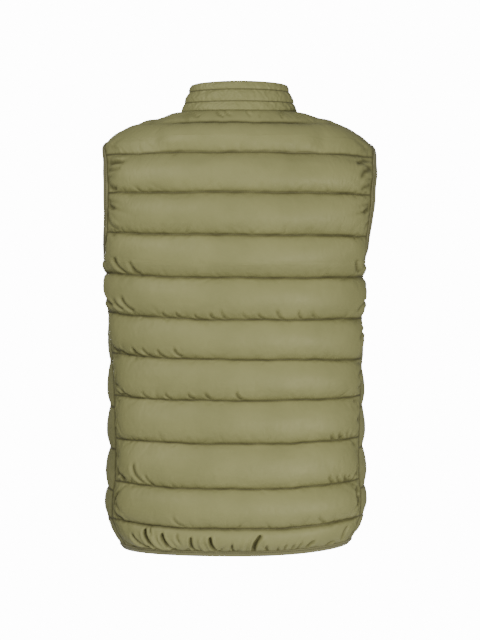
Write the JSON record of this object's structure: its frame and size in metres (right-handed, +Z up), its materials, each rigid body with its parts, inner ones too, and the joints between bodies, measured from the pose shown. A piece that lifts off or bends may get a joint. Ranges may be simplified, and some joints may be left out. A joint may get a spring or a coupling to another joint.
{
  "type": "puffer vest",
  "caption": "Sleeveless padded vest with horizontal quilting, a low stand collar and a front zip, filled out as if worn.",
  "frame": {"origin": "between the two neck points of the shoulder seams, where the wearer's shoulders carry the vest", "axes": "+Z up, -Y out of the vest's front with the zip, +X towards the wearer's left"},
  "size_m": [0.4307, 0.2605, 0.7324],
  "materials": {
    "shell": "olive green woven nylon with a soft sheen over padding",
    "binding": "olive green stretch binding",
    "zip_tape": "woven zip tape with moulded teeth",
    "zip_metal": "painted slider and pull tab"
  },
  "bodies": {
    "garment": {"back_panel": "shell", "left_front": "shell", "right_front": "shell", "collar": "shell", "left_armhole_binding": "binding", "right_armhole_binding": "binding", "hem_binding": "binding", "left_zip": "zip_tape", "right_zip": "zip_tape", "zip_slider": "zip_metal"},
    "pull_tab": {"zip_pull": "zip_metal"}
  },
  "joints": [
    {"name": "pull_swing", "type": "hinge", "parent": "garment", "child": "pull_tab", "pos_m": [0, -0.07015, -0.03637], "axis": [-1, 0, 0], "range_deg": [0, 170]}
  ]
}
